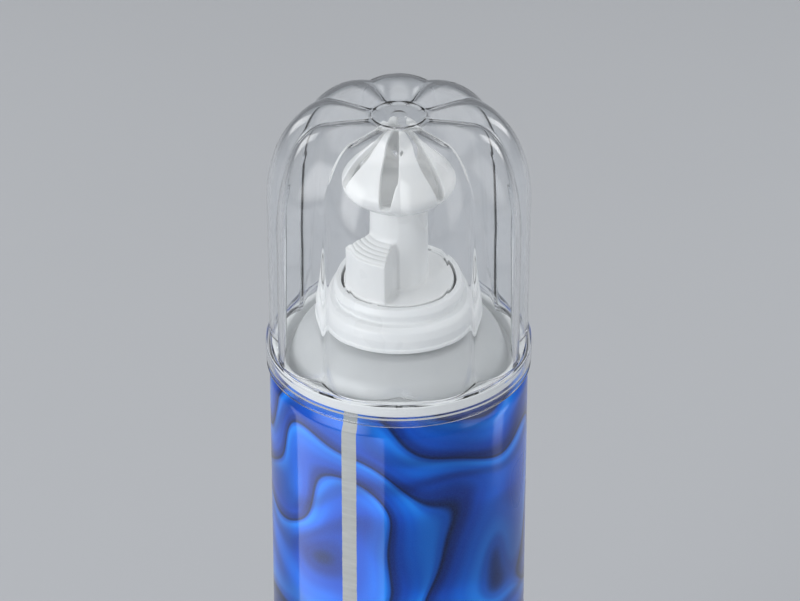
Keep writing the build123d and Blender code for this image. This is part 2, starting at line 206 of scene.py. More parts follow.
class Material(Graph):
    """Node material around one Principled shader."""

    def __init__(self, name):
        self.material = bpy.data.materials.new(name)
        self.material.use_nodes = True
        super().__init__(self.material.node_tree)
        self.tree.nodes.clear()
        self.out = self.node("ShaderNodeOutputMaterial")
        self.shader = self.node("ShaderNodeBsdfPrincipled")
        self.link(self.shader.outputs[0], self.out.inputs[0])

    def set(self, **inputs):
        for key, value in inputs.items():
            self.feed(self.shader.inputs[key.replace("_", " ")], value)

    def coords(self):
        return self.node("ShaderNodeTexCoord").outputs["Object"]

    def stretch(self, vector, scale):
        node = self.node("ShaderNodeMapping")
        self.link(vector, node.inputs["Vector"])
        node.inputs["Scale"].default_value = scale
        return node.outputs[0]

    def noise(self, vector, scale, detail, roughness, distortion=0.0, output=0):
        node = self.node("ShaderNodeTexNoise")
        self.link(vector, node.inputs["Vector"])
        node.inputs["Scale"].default_value = scale
        node.inputs["Detail"].default_value = detail
        node.inputs["Roughness"].default_value = roughness
        node.inputs["Distortion"].default_value = distortion
        return node.outputs[output]

    def bands(self, vector, direction, profile, scale):
        node = self.node("ShaderNodeTexWave", wave_type="BANDS", bands_direction=direction,
                         wave_profile=profile)
        self.link(vector, node.inputs["Vector"])
        node.inputs["Scale"].default_value = scale
        node.inputs["Distortion"].default_value = 0.0
        node.inputs["Detail"].default_value = 0.0
        return node.outputs["Fac"]

    def warp(self, vector, shift, amount):
        """Vector moved by a colour times an amount per axis."""
        node = self.node("ShaderNodeVectorMath", operation="MULTIPLY_ADD")
        self.link(shift, node.inputs[0])
        node.inputs[1].default_value = amount
        self.link(vector, node.inputs[2])
        return node.outputs[0]

    def axis_radius(self, x, y):
        squares = self.calc("ADD", self.calc("MULTIPLY", x, x), self.calc("MULTIPLY", y, y))
        return self.calc("SQRT", squares)

    def ramp(self, factor, stops, interpolation="LINEAR"):
        """Colour ramp; stops are (position, colour)."""
        node = self.node("ShaderNodeValToRGB")
        node.color_ramp.interpolation = interpolation
        elements = node.color_ramp.elements
        while len(elements) > 1:
            elements.remove(elements[-1])
        elements[0].position = stops[0][0]
        elements[0].color = (*stops[0][1], 1.0)
        for position, color in stops[1:]:
            elements.new(position).color = (*color, 1.0)
        self.link(factor, node.inputs[0])
        return node.outputs[0]

    def drift(self, factor, tone, dark, light, span=(0.3, 0.7)):
        """Ramp of one tone between a dark and a light multiple of it."""
        return self.ramp(factor, [(position, tuple(c * gain for c in tone))
                                  for position, gain in zip(span, (dark, light))])

    def mix(self, factor, base, over, blend="MIX"):
        node = self.node("ShaderNodeMix", data_type="RGBA", blend_type=blend)
        self.feed(node.inputs[0], factor)
        for socket, value in ((node.inputs[6], base), (node.inputs[7], over)):
            self.feed(socket, (*value, 1.0) if isinstance(value, tuple) else value)
        return node.outputs[2]

    def bump(self, height, strength, distance):
        node = self.node("ShaderNodeBump")
        node.inputs["Strength"].default_value = strength
        node.inputs["Distance"].default_value = distance
        self.link(height, node.inputs["Height"])
        return node.outputs[0]


# ------------------------------------------------------------ materials
def moulded(name, color, rough, grain, vary=0.06, bump=0.06, coat=0.0, subsurface=0.0):
    """Moulded finish: drift in tone and roughness, with a fine surface grain."""
    m = Material(name)
    co = m.coords()
    cloud = m.noise(co, scale=60.0, detail=3.0, roughness=0.55)
    fine = m.noise(co, scale=grain, detail=3.0, roughness=0.6)
    height = m.calc("MULTIPLY_ADD", fine, 0.6, m.calc("MULTIPLY", cloud, 0.4))
    m.set(Base_Color=m.drift(cloud, color, dark=1 - vary, light=1 + vary * 0.6),
          Roughness=m.remap(cloud, span=(0.3, 0.7), to=(rough * 0.85, rough * 1.2)),
          Normal=m.bump(height, strength=bump, distance=0.00008))
    if coat:
        m.set(Coat_Weight=coat, Coat_Roughness=0.08)
    if subsurface:
        m.set(Subsurface_Weight=subsurface, Subsurface_Radius=(1.0, 0.95, 0.9),
              Subsurface_Scale=0.0012)
    return m.material


def tinplate(name, tone, rough, ring_bump=0.12):
    """Bright lacquered tinplate with faint circular draw marks."""
    m = Material(name)
    co = m.coords()
    x, y, z = m.split(co)
    section = m.node("ShaderNodeCombineXYZ")
    m.link(m.axis_radius(x, y), section.inputs[0])
    m.link(z, section.inputs[1])
    rings = m.noise(section.outputs[0], scale=2400.0, detail=3.0, roughness=0.6)
    cloud = m.noise(co, scale=90.0, detail=4.0, roughness=0.6)
    m.set(Base_Color=m.drift(cloud, tone, dark=0.9, light=1.06), Metallic=0.95,
          Roughness=m.remap(cloud, span=(0.3, 0.7), to=(rough * 0.8, rough * 1.3)),
          Normal=m.bump(rings, strength=ring_bump, distance=0.00005),
          Coat_Weight=0.35, Coat_Roughness=0.12)
    return m.material


def dome_lacquer():
    """Satin pale lacquer with slight orange peel, fine specks and a paler outer ring."""
    tone, ring_tone = (0.60, 0.615, 0.62), (0.86, 0.87, 0.87)
    ring_edge = (0.0238, 0.0242)             # radius over which the outer ring fades in
    m = Material("dome_lacquer")
    co = m.coords()
    peel = m.noise(co, scale=1500.0, detail=2.0, roughness=0.5)
    cloud = m.noise(co, scale=70.0, detail=4.0, roughness=0.55)
    speck = m.noise(co, scale=5200.0, detail=2.0, roughness=0.5)
    color = m.drift(cloud, tone, dark=0.95, light=1.03, span=(0.28, 0.72))
    color = m.mix(m.remap(speck, span=(0.66, 0.74), to=(0.0, 0.25)), color,
                  tuple(c * 0.8 for c in tone))
    x, y, _ = m.split(co)
    radius = m.axis_radius(x, y)
    color = m.mix(m.remap(radius, span=ring_edge, to=(0.0, 1.0)), color, ring_tone)
    m.set(Base_Color=color, Metallic=m.remap(radius, span=ring_edge, to=(0.12, 0.0)),
          Roughness=m.remap(cloud, span=(0.3, 0.7), to=(0.30, 0.42)),
          Normal=m.bump(peel, strength=0.10, distance=0.00006),
          Coat_Weight=0.3, Coat_Roughness=0.2)
    return m.material


def blue_artwork(m, co):
    """Soft overlapping folds in blue with a print grain."""
    # warp the surface twice so the folds swirl
    shift = m.noise(co, scale=26.0, detail=1.0, roughness=0.4, output="Color")
    swirl = m.warp(co, shift, amount=(0.060, 0.060, 0.050))
    shift = m.noise(swirl, scale=38.0, detail=0.0, roughness=0.4, output="Color")
    swirl = m.warp(swirl, shift, amount=(0.034, 0.034, 0.030))
    folds = m.ramp(m.bands(swirl, direction="DIAGONAL", profile="SAW", scale=26.0), [
        (0.0, (0.003, 0.014, 0.085)), (0.10, (0.002, 0.028, 0.24)), (0.34, (0.002, 0.072, 0.52)),
        (0.64, (0.002, 0.135, 0.74)), (0.84, (0.008, 0.210, 0.86)), (0.93, (0.004, 0.115, 0.62)),
        (1.0, (0.002, 0.014, 0.095))], "EASE")
    shade = m.ramp(m.bands(swirl, direction="Z", profile="SIN", scale=22.0), [
        (0.0, (0.55, 0.50, 0.55)), (0.5, (0.90, 0.92, 0.97)), (1.0, (1.25, 1.25, 1.15))])
    art = m.mix(0.8, folds, shade, "MULTIPLY")
    # navy and grey-blue patches
    navy = m.noise(co, scale=20.0, detail=1.0, roughness=0.5)
    art = m.mix(m.remap(navy, span=(0.52, 0.74), to=(0.0, 0.75), smooth=True), art,
                (0.003, 0.012, 0.085))
    grey = m.noise(m.stretch(co, (1.0, 1.0, 0.6)), scale=44.0, detail=1.0, roughness=0.5)
    art = m.mix(m.remap(grey, span=(0.56, 0.72), to=(0.0, 0.50), smooth=True), art,
                (0.034, 0.048, 0.085))
    dots = m.noise(co, scale=4200.0, detail=1.0, roughness=0.5)
    return m.mix(m.remap(dots, span=(0.4, 0.6), to=(0.0, 0.05)), art, (0.04, 0.24, 0.80))


def printed_body():
    """Varnished blue artwork with a bare weld stripe up the front left."""
    stripe_angle = math.radians(-22.4)       # from -Y, positive toward +X
    bare_metal = (0.66, 0.68, 0.71)
    m = Material("printed_tinplate")
    co = m.coords()
    x, y, z = m.split(co)
    color = blue_artwork(m, co)
    # weld stripe: arc is the distance in mm round the can from its middle
    angle = m.calc("ARCTAN2", x, m.calc("MULTIPLY", y, -1.0))
    arc = m.calc("MULTIPLY", m.calc("SUBTRACT", angle, stripe_angle), BODY_R)
    ragged = m.noise(m.stretch(co, (1, 1, 1)), scale=700.0, detail=2.0, roughness=0.6)
    edge = m.calc("ADD", m.calc("ABSOLUTE", arc),
                  m.calc("MULTIPLY", m.calc("SUBTRACT", ragged, 0.5), 0.16))
    bare = m.remap(edge, span=(1.52, 1.66), to=(1.0, 0.0), smooth=True)
    heat = m.remap(m.calc("ABSOLUTE", arc), span=(0.15, 0.55), to=(1.0, 0.0), smooth=True)
    ripple = m.noise(m.stretch(co, (6.0, 6.0, 60.0)), scale=22.0, detail=3.0, roughness=0.6,
                     distortion=0.3)
    stripe = m.ramp(ripple, [(0.30, (0.33, 0.35, 0.345)), (0.52, (0.37, 0.39, 0.385)),
                             (0.75, (0.42, 0.44, 0.435))])
    stripe = m.mix(m.calc("MULTIPLY", heat, 0.35), stripe, (0.36, 0.38, 0.42))
    color = m.mix(bare, color, stripe)
    # rubbed spots near the base
    z_mm = m.calc("MULTIPLY", z, 1000.0)
    low = m.remap(z_mm, span=(1.5, 9.0), to=(1.0, 0.0), smooth=True)
    rub = m.noise(co, scale=420.0, detail=5.0, roughness=0.65)
    worn = m.calc("MULTIPLY", m.remap(rub, span=(0.63, 0.70), to=(0.0, 1.0)), low, clamp=True)
    color = m.mix(m.calc("MULTIPLY", worn, 0.7), color, (0.58, 0.60, 0.63))
    # unprinted margin at both hooks
    margin = m.calc("MAXIMUM", m.remap(z_mm, span=(183.3, 183.6), to=(0.0, 1.0)),
                    m.remap(z_mm, span=(2.5, 2.9), to=(1.0, 0.0)))
    color = m.mix(margin, color, bare_metal)
    smudge = m.noise(co, scale=45.0, detail=1.0, roughness=0.4)
    peel = m.noise(co, scale=900.0, detail=2.0, roughness=0.5)
    height = m.calc("MULTIPLY_ADD", m.calc("MULTIPLY", ripple, bare), 0.5,
                    m.calc("MULTIPLY", peel, 0.06))
    m.set(Base_Color=color,
          Metallic=m.calc("SUBTRACT", 0.18, m.calc("MULTIPLY", bare, 0.12)),
          Roughness=m.remap(smudge, span=(0.25, 0.75), to=(0.27, 0.33), smooth=True),
          Specular_IOR_Level=0.06, Coat_Weight=0.6,
          Coat_Roughness=m.remap(smudge, span=(0.25, 0.75), to=(0.05, 0.09), smooth=True),
          Normal=m.bump(height, strength=0.25, distance=0.00010))
    return m.material


def clear_plastic():
    """Clear moulding: faint flow marks and hairline scratches; casts no dark shadow."""
    m = Material("clear_plastic")
    co = m.coords()
    flow = m.noise(m.stretch(co, (1.0, 1.0, 0.25)), scale=120.0, detail=2.0, roughness=0.5)
    haze = m.noise(co, scale=300.0, detail=4.0, roughness=0.6)
    scratch = m.noise(m.stretch(co, (1.0, 1.0, 0.06)), scale=3000.0, detail=2.0, roughness=0.7,
                      distortion=0.3)
    rough = m.calc("ADD", m.remap(haze, span=(0.4, 0.75), to=(0.008, 0.05)),
                   m.remap(scratch, span=(0.68, 0.76), to=(0.0, 0.10)))
    tint = m.ramp(haze, [(0.3, (0.985, 0.992, 1.0)), (0.7, (0.965, 0.98, 0.995))])
    m.set(Base_Color=tint, Roughness=rough, IOR=1.49, Transmission_Weight=1.0,
          Normal=m.bump(flow, strength=0.10, distance=0.00012))
    # shadow and diffuse rays pass straight through
    see_through = m.node("ShaderNodeBsdfTransparent")
    see_through.inputs[0].default_value = (0.975, 0.982, 0.988, 1.0)
    rays = m.node("ShaderNodeLightPath").outputs
    blend = m.node("ShaderNodeMixShader")
    m.link(m.calc("MAXIMUM", rays["Is Shadow Ray"], rays["Is Diffuse Ray"]), blend.inputs[0])
    m.link(m.shader.outputs[0], blend.inputs[1])
    m.link(see_through.outputs[0], blend.inputs[2])
    m.link(blend.outputs[0], m.out.inputs[0])
    return m.material


MAT_CAP = clear_plastic()
MAT_NOZZLE = moulded("white_moulding", (0.86, 0.865, 0.86), rough=0.30, grain=1400.0,
                     vary=0.025, bump=0.05, coat=0.12, subsurface=0.12)
MAT_COLLAR = moulded("white_collar", (0.885, 0.895, 0.895), rough=0.28, grain=1300.0,
                     vary=0.03, bump=0.05, coat=0.15, subsurface=0.10)
MAT_BODY = printed_body()
MAT_DOME = dome_lacquer()
MAT_BASE = tinplate("base_tinplate", (0.72, 0.72, 0.73), rough=0.24)
MAT_CUP = tinplate("cup_tinplate", (0.74, 0.73, 0.71), rough=0.22)
MAT_STEM = moulded("acetal", (0.80, 0.79, 0.75), rough=0.38, grain=1800.0, subsurface=0.1)
MAT_HOUSING = moulded("housing_polymer", (0.70, 0.70, 0.67), rough=0.45, grain=1500.0,
                      subsurface=0.1)
MAT_RUBBER = moulded("black_rubber", (0.022, 0.022, 0.024), rough=0.65, grain=2600.0,
                     vary=0.3, bump=0.2)
MAT_RED = moulded("red_rubber", (0.20, 0.045, 0.035), rough=0.62, grain=2600.0,
                  vary=0.25, bump=0.2)
MAT_COMPOUND = moulded("lining_compound", (0.42, 0.36, 0.27), rough=0.55, grain=2200.0,
                       vary=0.2, bump=0.15)
MAT_WIRE = tinplate("spring_wire", (0.60, 0.60, 0.62), rough=0.28, ring_bump=0.04)

# CAD pieces that only need a material
for node_name, cad_material in (
        ("living_hinge", MAT_COLLAR), ("tamper_bridges", MAT_COLLAR), ("valve_stem", MAT_STEM),
        ("stem_gasket", MAT_RUBBER), ("cup_gasket", MAT_RED), ("valve_housing", MAT_HOUSING),
        ("valve_spring", MAT_WIRE), ("top_seam_compound", MAT_COMPOUND),
        ("base_seam_compound", MAT_COMPOUND)):
    slots = NODES[node_name].data.materials
    slots.clear()
    slots.append(cad_material)

# ------------------------------------------------------------ can body, ends, cup, collar
# Outlines are (r, z[, fillet radius]); sheets follow their centre line.
# Double seam: centre-line radii of its five layers, from the inside out.
SEAM_PITCH = (T_BODY + T_END) / 2 + GAP
CHUCK_R, WALL_R, END_HOOK_R, BODY_HOOK_R, PANEL_R = (24.43 + SEAM_PITCH * i for i in range(5))
FOLD_TOP = SEAM_TOP - T_END / 2
FOLD_LOW = SEAM_TOP - SEAM_H + T_END / 2
BODY_FOLD = FOLD_TOP - T_END / 2 - GAP - T_BODY / 2
CUP_TOP = 197.25
CUP_RIM = CUP_TOP - T_CUP / 2

BODY_UPPER = [
    (BODY_HOOK_R, SEAM_TOP - 2.05), (BODY_HOOK_R, BODY_FOLD, 0.29), (WALL_R, BODY_FOLD, 0.29),
    (WALL_R, 182.3, 2.0), (BODY_R - T_BODY / 2, 178.7, 3.0)]
END_HOOK = [
    (END_HOOK_R, SEAM_TOP - 0.85), (END_HOOK_R, FOLD_LOW, 0.29), (PANEL_R, FOLD_LOW, 0.29),
    (PANEL_R, FOLD_TOP, 0.55), (CHUCK_R, FOLD_TOP, 0.55)]
DOME = END_HOOK + [
    (24.25, 182.5, 0.65), (22.75, 182.5, 0.65), (21.0, 187.3, 5.0), (17.0, 190.85, 6.0),
    (13.9, 192.3, 2.5), (12.86, 193.6, 0.8), (12.86, 195.85, 0.95), (14.8, 195.85, 0.9),
    (14.8, 194.1, 0.5), (14.2, 193.85)]
BASE_PANEL = [(24.2, 4.3, 1.1), (21.6, 5.6, 4.0), (14.0, 8.4, 20.0), (6.0, 9.7, 20.0), (0.0, 9.9)]
CUP = [
    (15.25, 194.45), (15.25, CUP_RIM, 0.7), (12.35, CUP_RIM, 0.8), (12.35, 193.1, 1.2),
    (12.75, 191.5, 0.7), (12.1, 190.3, 0.6), (5.6, 190.3, 0.45), (4.75, 191.5, 0.35),
    (5.25, 192.6, 0.35), (5.25, 196.15, 0.5), (2.5, 196.15)]
COLLAR = [
    (15.55, COLLAR_LOW, 0.15), (16.95, COLLAR_LOW, 0.15), (16.95, 193.62, 0.15),
    (16.68, 193.9, 0.08), (16.8, 195.6, 1.6), (16.3, 197.4, 1.1), (15.2, 198.05, 0.45),
    (13.8, 197.95, 0.3), (13.7, 198.45, 0.25), (14.4, 199.9, 0.8), (13.6, COLLAR_TOP, 0.4),
    (COLLAR_BORE_R, COLLAR_TOP, 0.07), (COLLAR_BORE_R, 197.95, 0.15), (12.75, 197.42, 0.3),
    (15.6, 197.42, 0.5), (15.6, 194.38, 0.1), (15.22, 194.05, 0.15), (15.22, 193.75, 0.15)]


def mirrored(outline):
    """Outline at the top seam, flipped down to the base seam."""
    return [(r, SEAM_TOP - z, *fillet) for r, z, *fillet in outline]


body_loop = sheet_loop(BODY_UPPER + mirrored(BODY_UPPER)[::-1], T_BODY)
place(spin("body_shell", body_loop, MAT_BODY), "can", "can_body")
place(spin("dome_shell", sheet_loop(DOME, T_END), MAT_DOME), "can", "top_dome")

base_loop = sheet_loop(mirrored(END_HOOK) + BASE_PANEL, T_END)
base_loop[base_loop[:, 0] < 0.02, 0] = 0.0   # close the sheet on the axis
place(spin("base_shell", base_loop, MAT_BASE), "can", "base_end")

cup_shell = spin("cup_shell", sheet_loop(CUP, T_CUP), MAT_CUP, segments=192)
place(cup_shell, "can", "mounting_cup")

collar_loop = densify(fillet_line(COLLAR, closed=True)[0], longest=2.5)
place(spin("collar_ring", collar_loop, MAT_COLLAR), "can", "collar")

# ------------------------------------------------------------ nozzle
# Solid from a distance field (negative inside). Plan angles are degrees from -Y toward +X.
GRID_HALF, GRID_LOW, GRID_H = 12.6, 197.7, 39.0
NECK_R, NECK_TOP = 5.85, 220.5
FOOT = 200.6                                 # start of neck and pad, top of hub
PAD_R, PAD_FROM, PAD_TO = 11.7, -73.0, -13.6
PAD_RIM_Z, PAD_INNER_R, PAD_INNER_Z = 209.9, 5.2, 212.2
RIB_COUNT, RIB_H = 6, 0.20                   # ribs at 1 mm pitch, in from 0.5 mm off the rim
POCKET_INSET = 7.0                           # degrees in from each side of the pad
PASSAGE_R = 1.4
# (z, r) stations of the bulb's outside and of the hollow inside it
BULB = [(219.9, 8.4), (220.9, 9.86), (222.3, 11.3), (224.0, 11.74), (226.2, 10.6),
        (228.6, 8.75), (231.0, 6.75), (233.4, 4.95), (235.6, 3.6)]
HOLLOW = [(204.0, PASSAGE_R), (204.7, 2.7), (206.5, 3.5), (208.5, 3.9), (220.6, 3.9),
          (221.1, 5.4), (221.5, 8.2), (222.2, 9.4), (223.4, 9.95), (224.8, 9.6), (226.6, 8.5),
          (228.6, 6.95), (231.0, 4.75), (233.0, 2.9), (233.8, 2.35), (237.0, 2.3)]
# (z, half width) stations of the slots between the petals
SLOT = [(222.8, 0.95), (226.0, 1.42), (229.5, 1.68), (231.5, 1.5), (233.3, 1.25), (237.0, 0.9)]
SLOT_COUNT, SLOT_FIRST = 6, -73.5


def smooth_max(a, b, k):
    """Maximum with the corner rounded over a width k."""
    h = np.clip(0.5 + 0.5 * (a - b) / k, 0, 1)
    return b * (1 - h) + a * h + k * h * (1 - h)


def smooth_min(a, b, k):
    return -smooth_max(-a, -b, k)


def station_curve(stations, heights):
    """Cubic Hermite curve through (z, value) stations, sampled at heights."""
    z, v = np.array(stations, float).T
    slope = np.gradient(v, z)
    i = np.clip(np.searchsorted(z, heights) - 1, 0, len(z) - 2)
    h = z[i + 1] - z[i]
    t = np.clip((heights - z[i]) / h, 0, 1)
    return ((2 * t ** 3 - 3 * t ** 2 + 1) * v[i] + (t ** 3 - 2 * t ** 2 + t) * h * slope[i]
            + (-2 * t ** 3 + 3 * t ** 2) * v[i + 1] + (t ** 3 - t ** 2) * h * slope[i + 1])


def plan_direction(degrees):
    angle = math.radians(degrees)
    return math.sin(angle), -math.cos(angle)


def build_nozzle():
    cell = 0.15
    across = int(2 * GRID_HALF / cell) + 1
    tall = int(GRID_H / cell) + 1
    line = -GRID_HALF + cell * np.arange(across, dtype=np.float32)
    x, y = line[:, None, None], line[None, :, None]
    heights = (GRID_LOW + cell * np.arange(tall)).astype(np.float32)
    z = heights[None, None, :]
    r = np.sqrt(x * x + y * y)

    def cylinder(radius, low, high, rounding):
        return smooth_max(r - radius, smooth_max(low - z, z - high, 0.01), rounding)

    def turned(stations):
        """Distance to a turned profile, corrected for the slope of its side."""
        radius = station_curve(stations, heights)
        slope = np.gradient(radius, heights)
        cosine = (1 / np.sqrt(1 + slope * slope)).astype(np.float32)
        return (r - radius[None, None, :].astype(np.float32)) * cosine[None, None, :]

    def sector(start, end):
        (sx, sy), (ex, ey) = plan_direction(start), plan_direction(end)
        return smooth_max(x * sy - y * sx, -(x * ey - y * ex), 0.2)

    # neck and bulb
    ends = smooth_max(BULB[0][0] - z, z - BULB[-1][0], 0.01)
    bulb = smooth_max(turned(BULB), ends, 0.35)
    solid = smooth_min(cylinder(NECK_R, FOOT, NECK_TOP, 0.1), bulb, 0.5)
    # pad beside the neck: its ribbed top rises toward the axis
    phase = (PAD_R - 0.5) - r
    wave = np.clip(np.sin(np.pi * (phase - np.floor(phase))) * 2.2 - 0.5, 0, 1)
    ribs = np.where((phase > 0) & (phase < RIB_COUNT), RIB_H * wave, 0)
    rise = (PAD_INNER_Z - PAD_RIM_Z) / (PAD_R - PAD_INNER_R)
    top = PAD_RIM_Z + (PAD_R - r) * rise + ribs
    block = smooth_max(r - PAD_R, smooth_max(z - top, FOOT - z, 0.01), 0.22)
    solid = smooth_min(solid, smooth_max(sector(PAD_FROM, PAD_TO), block, 0.2), 1.1)
    # disc and hub
    solid = smooth_min(solid, cylinder(DISC_R, DISC_LOW, COLLAR_TOP, 0.14), 0.7)
    solid = np.minimum(solid, cylinder(3.6, 198.3, FOOT, 0.2))
    # pocket under the pad
    ring = smooth_max(r - 10.3, 7.3 - r, 0.2)
    pocket = smooth_max(sector(PAD_FROM + POCKET_INSET, PAD_TO - POCKET_INSET),
                        smooth_max(ring, z - (210.9 - 0.3 * r), 0.2), 0.2)
    solid = smooth_max(solid, -pocket, 0.15)
    # socket in the hub, hollow of neck and bulb, and the passage that joins them
    socket = np.maximum(r - 2.35, z - 202.55)
    solid = smooth_max(solid, -socket, 0.1)
    solid = smooth_max(solid, -np.maximum(turned(HOLLOW), HOLLOW[0][0] - z), 0.15)
    passage = np.maximum(r - PASSAGE_R, np.maximum(201.0 - z, z - 206.0))
    solid = smooth_max(solid, -passage, 0.05)
    # lens-shaped slots between the petals
    half_width = station_curve(SLOT, heights)[None, None, :].astype(np.float32)
    for k in range(SLOT_COUNT):
        ux, uy = plan_direction(SLOT_FIRST + 360.0 / SLOT_COUNT * k)
        along = x * ux + y * uy
        sideways = x * uy - y * ux
        cut = smooth_max(np.abs(sideways) - half_width, SLOT[0][0] - z, 0.4)
        solid = smooth_max(solid, -np.maximum(cut, -along), 0.16)

    grid = openvdb.FloatGrid(background=1.0)
    grid.copyFromArray(np.ascontiguousarray(np.clip(solid, -1, 1).astype(np.float32)))
    points, quads = grid.convertToQuads(isovalue=0.0)
    verts = np.array(points, float) * cell + np.array([-GRID_HALF, -GRID_HALF, GRID_LOW])
    return make_object("nozzle_moulding", verts, np.array(quads), MAT_NOZZLE, sharp_angle=0)


place(build_nozzle(), "nozzle", "nozzle")


# ------------------------------------------------------------ webs from disc to collar
def web(name, centre, half_angle, low, high, node):
    """Web across the gap between disc and collar, slightly thinner in the middle."""
    inner, middle, outer = DISC_R + 0.03, 12.1, COLLAR_BORE_R - 0.03
    section = ((inner, low), (middle, low + 0.05), (outer, low),
               (outer, high), (middle, high - 0.05), (inner, high))
    steps, count = 14, len(section)
    start, end = centre - half_angle, centre + half_angle
    verts, faces = [], []
    for i in range(steps + 1):
        ux, uy = plan_direction(start + (end - start) * (i / steps))
        verts += [(r * ux, r * uy, z) for r, z in section]
    for i in range(steps):
        a, b = i * count, (i + 1) * count
        for k in range(count):
            n = (k + 1) % count
            faces.append((a + k, b + k, b + n, a + n))
    faces.append(tuple(range(count)))
    faces.append(tuple(steps * count + k for k in range(count))[::-1])
    place(make_object(name, verts, faces, MAT_COLLAR, sharp_angle=40), "can", node)


for number, centre in enumerate((-23.7, -66.0), 1):
    web(f"bridge_{number}", centre, half_angle=3.0, low=200.35, high=201.17,
        node="tamper_bridges")
web("hinge_web", 136.5, half_angle=10.5, low=200.72, high=201.16, node="living_hinge")

# ------------------------------------------------------------ overcap
CAP_TOP, CAP_DISC_R, CAP_WALL = 238.4, 5.75, 0.8
CAP_ROWS = 120                               # points down the outer wall
LOBES = 9
HALF_LOBE = math.pi / LOBES
LOBE_CENTRE, LOBE_ROUND = 16.5, 10.45        # plan circle of a lobe: distance from axis, radius
LEDGE_LOW, LEDGE_TOP = SEAM_TOP + GAP, 187.15
SKIRT_R, SKIRT_IN, SKIRT_LOW = 27.25, 26.2, 181.7
RIDGE = dict(radius=27.1, foot=26.9, rise=1.25, shoulder_w=14.5, shoulder_h=22.5)
CREASE = dict(radius=23.8, foot=24.3, rise=-0.35, shoulder_w=9.0, shoulder_h=17.0)
# (r, height over CAP_TOP) of the central disc: a dimple on the axis and a raised rim
CAP_DISC = [
    (0.0, -0.09), (0.5, -0.10), (0.9, -0.13), (1.25, -0.12), (1.5, -0.07), (1.7, -0.02),
    (1.9, 0.0), (3.5, 0.0), (5.1, 0.0), (5.22, 0.04), (5.34, 0.15), (5.46, 0.19),
    (5.58, 0.15), (5.69, 0.04)]
# (outward step, height over LEDGE_TOP) where the wall runs out onto the ledge
WALL_FOOT, WALL_FOOT_MAX_R = [(0.03, 0.2), (0.12, 0.06), (0.28, 0.0)], 27.08
# (r, z[, fillet radius]) of the skirt, from the ledge down outside and up inside
SKIRT = [
    (27.1, LEDGE_TOP), (27.1, 186.4, 0.15), (SKIRT_R, 185.9, 0.25), (SKIRT_R, 183.3, 0.3),
    (27.0, 182.8, 0.2), (27.0, 182.35, 0.12), (27.12, 182.1, 0.1), (27.12, SKIRT_LOW, 0.25),
    (26.42, SKIRT_LOW, 0.08), (26.15, SKIRT_LOW + 0.3, 0.1), (25.9, 182.7, 0.2),
    (25.9, 183.0, 0.2), (SKIRT_IN, 183.6, 0.1), (SKIRT_IN, 185.6, 0.2), (25.95, LEDGE_LOW)]


def meridian(radius, foot, rise, shoulder_w, shoulder_h, bottom):
    """Cap section: top drifting by rise, elliptical shoulder, drafted wall, evenly spaced."""
    top = CAP_TOP + rise
    shoulder_r, shoulder_z = radius - shoulder_w, top - shoulder_h
    points = []
    for s in np.linspace(0, 1, 60, endpoint=False):
        if rise < 0:
            ease = 1 - (1 - min(1.0, s / 0.20)) ** 2
        else:
            ease = 0.35 * s * s * (3 - 2 * s) + 0.65 * (1 - (1 - s) ** 2)
        points.append((CAP_DISC_R + (shoulder_r - CAP_DISC_R) * s, CAP_TOP + rise * ease))
    for a in np.linspace(0, math.pi / 2, 160, endpoint=False):
        points.append((shoulder_r + shoulder_w * math.sin(a),
                       shoulder_z + shoulder_h * math.cos(a)))
    for s in np.linspace(0, 1, 60):
        points.append((radius + (foot - radius) * s, shoulder_z + (bottom - shoulder_z) * s))
    points = np.array(points)
    length = np.r_[0, np.cumsum(np.linalg.norm(np.diff(points, axis=0), axis=1))]
    length /= length[-1]
    even = np.linspace(0, 1, CAP_ROWS)
    return np.c_[np.interp(even, length, points[:, 0]), np.interp(even, length, points[:, 1])]


def lobe_weight(a, soft):
    """0 at a crease, 1 on a ridge; soft sets the small radius of the crease."""
    a = HALF_LOBE - (np.sqrt((HALF_LOBE - np.abs(a)) ** 2 + soft ** 2) - soft)

    def reach(angle):
        chord = LOBE_ROUND * LOBE_ROUND - (LOBE_CENTRE * np.sin(angle)) ** 2
        return LOBE_CENTRE * np.cos(angle) + np.sqrt(chord)

    low = reach(HALF_LOBE)
    return np.clip((reach(a) - low) / (LOBE_CENTRE + LOBE_ROUND - low), 0, 1)


def lobe_wall(angles, bottom):
    """Outer wall of one lobe: (r, z) by angle and row."""
    crease, ridge = meridian(**CREASE, bottom=bottom), meridian(**RIDGE, bottom=bottom)
    s = np.clip((np.linspace(0, 1, CAP_ROWS) - 0.22) / 0.25, 0, 1)
    soft = 0.010 + 0.026 * s * s * (3 - 2 * s)
    weight = lobe_weight(angles[:, None], soft[None, :])[:, :, None]
    return crease[None] + weight * (ridge - crease)[None]


def inner_wall(outer, radii, angles):
    """Outer wall moved in by CAP_WALL along its normals, which turn upright at the disc."""
    around = np.roll(outer, -1, 0) - np.roll(outer, 1, 0)
    normal = np.cross(around, np.gradient(outer, axis=1))
    normal /= np.linalg.norm(normal, axis=2, keepdims=True)
    outward = np.stack([np.cos(angles)[:, None] * np.ones(CAP_ROWS),
                        np.sin(angles)[:, None] * np.ones(CAP_ROWS),
                        np.full((len(angles), CAP_ROWS), 0.6)], 2)
    normal *= np.sign((normal * outward).sum(2, keepdims=True))
    blend = np.clip((radii - CAP_DISC_R) / 0.7, 0, 1)[:, :, None]
    normal = normal * blend + np.array([0, 0, 1.0]) * (1 - blend)
    normal /= np.linalg.norm(normal, axis=2, keepdims=True)
    return outer - normal * CAP_WALL


